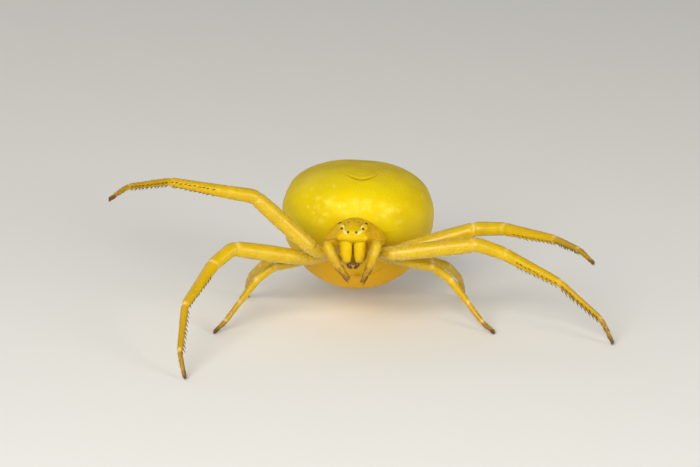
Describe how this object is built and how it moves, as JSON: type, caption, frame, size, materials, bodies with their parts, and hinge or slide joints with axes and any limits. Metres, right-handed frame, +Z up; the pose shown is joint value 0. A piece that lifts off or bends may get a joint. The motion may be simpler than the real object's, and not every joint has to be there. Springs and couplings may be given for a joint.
{
  "type": "crab spider model",
  "caption": "Life-size yellow crab spider standing with her long front legs spread wide, with a broad rounded abdomen, small eyes on a low head and short rear legs.",
  "frame": {"origin": "centre of the whole spider's box, on the floor that she stands on", "axes": "she faces -Y, her own left side is +X, and +Z is up"},
  "size_m": [0.0264, 0.0174, 0.0095],
  "materials": {
    "abdomen_skin": "waxy satin, bright lemon yellow with paler mottles, browner below",
    "carapace_shell": "satin shell, brownish yellow sides and a paler face",
    "leg_shell": "translucent satin shell, yellow with darker feet, short hairs and spines",
    "fang_horn": "polished dark brown horn",
    "eye_lens": "wet, nearly black lens"
  },
  "bodies": {
    "root": {"front_body": "carapace_shell", "abdomen": "abdomen_skin", "spinnerets": "leg_shell", "eye_front_middle_right": "eye_lens", "eye_front_middle_left": "eye_lens", "eye_front_side_right": "eye_lens", "eye_front_side_left": "eye_lens", "eye_back_middle_right": "eye_lens", "eye_back_middle_left": "eye_lens", "eye_back_side_right": "eye_lens", "eye_back_side_left": "eye_lens", "jaw_right": "leg_shell", "jaw_left": "leg_shell", "fang_right": "fang_horn", "fang_left": "fang_horn", "palp_right": "leg_shell", "palp_left": "leg_shell", "leg_right_1_thigh": "leg_shell", "leg_right_1_shin": "leg_shell", "leg_right_1_foot": "leg_shell", "leg_right_2_thigh": "leg_shell", "leg_right_2_shin": "leg_shell", "leg_right_2_foot": "leg_shell", "leg_right_3_thigh": "leg_shell", "leg_right_3_shin": "leg_shell", "leg_right_3_foot": "leg_shell", "leg_right_4_thigh": "leg_shell", "leg_right_4_shin": "leg_shell", "leg_right_4_foot": "leg_shell", "leg_left_1_thigh": "leg_shell", "leg_left_1_shin": "leg_shell", "leg_left_1_foot": "leg_shell", "leg_left_2_thigh": "leg_shell", "leg_left_2_shin": "leg_shell", "leg_left_2_foot": "leg_shell", "leg_left_3_thigh": "leg_shell", "leg_left_3_shin": "leg_shell", "leg_left_3_foot": "leg_shell", "leg_left_4_thigh": "leg_shell", "leg_left_4_shin": "leg_shell", "leg_left_4_foot": "leg_shell"}
  },
  "joints": []
}
